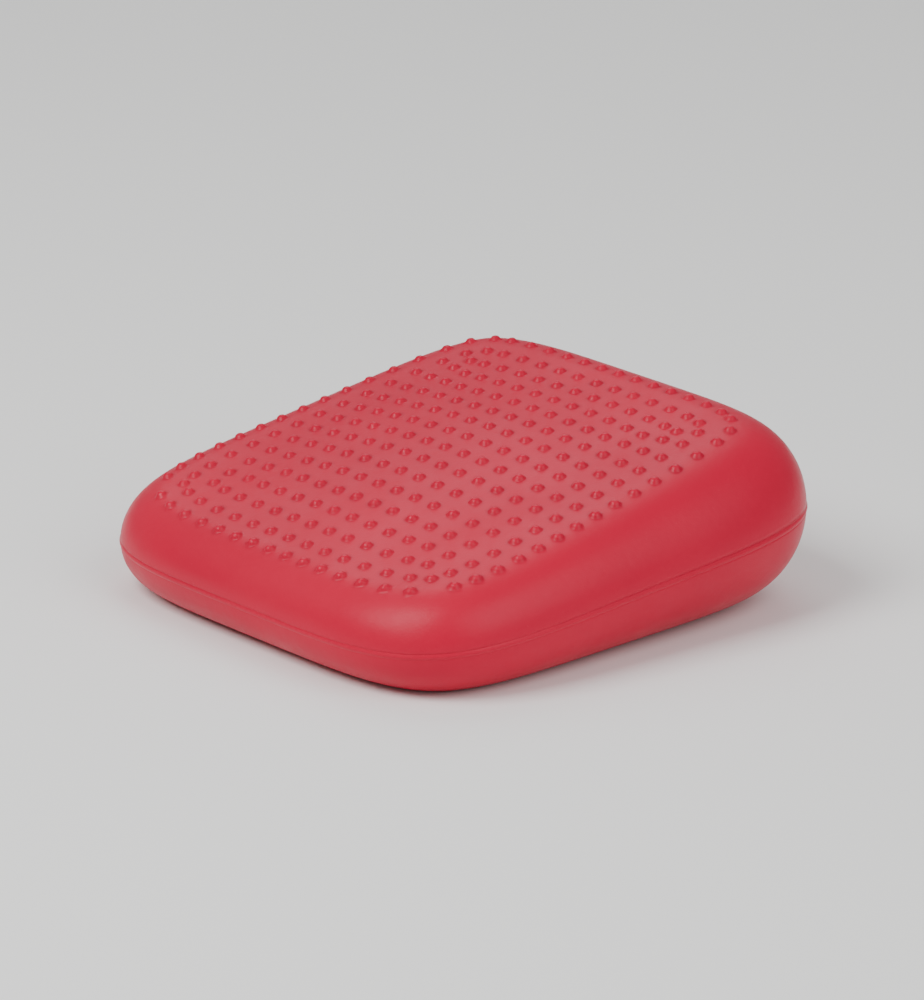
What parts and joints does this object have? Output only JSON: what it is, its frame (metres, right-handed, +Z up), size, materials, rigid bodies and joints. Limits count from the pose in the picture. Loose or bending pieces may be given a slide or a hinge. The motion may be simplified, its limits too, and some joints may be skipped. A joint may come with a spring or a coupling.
{
  "type": "wobble cushion",
  "caption": "Air-filled wedge balance cushion on a rounded-square footprint, with a studded seat and a recessed valve; the seat tilts both ways on its flexing side walls.",
  "frame": {"origin": "on the resting surface, under the middle of the cushion's bounding box", "axes": "+Z up; +Y towards the thick back edge, where the valve is; -Y towards the thin front edge; X across"},
  "size_m": [0.251, 0.251, 0.0828],
  "materials": {
    "red_vinyl": "satin",
    "black_rubber": "matte",
    "grey_plastic": "satin"
  },
  "bodies": {
    "base": {"base_skin": "red_vinyl", "lower_side_wall": "red_vinyl"},
    "rim": {"seam_bead": "red_vinyl", "valve_socket": "red_vinyl", "valve_core": "black_rubber"},
    "seat": {"top_skin": "red_vinyl", "upper_side_wall": "red_vinyl"},
    "plug": {"valve_plug": "grey_plastic"}
  },
  "joints": [
    {"name": "tilt_side", "type": "hinge", "parent": "base", "child": "rim", "pos_m": [0, 0, 0.032], "axis": [0, 1, 0], "range_deg": [-4, 4], "stiffness_Nm_per_rad": 70, "deforming": ["lower_side_wall"]},
    {"name": "tilt_fore_aft", "type": "hinge", "parent": "rim", "child": "seat", "pos_m": [0, 0, 0.032], "axis": [1, 0, 0], "range_deg": [-4, 4], "stiffness_Nm_per_rad": 80, "deforming": ["upper_side_wall"]},
    {"name": "plug_pull", "type": "slide", "parent": "rim", "child": "plug", "axis": [0, 0.9336, -0.3584], "range_m": [0, 0.02]}
  ]
}
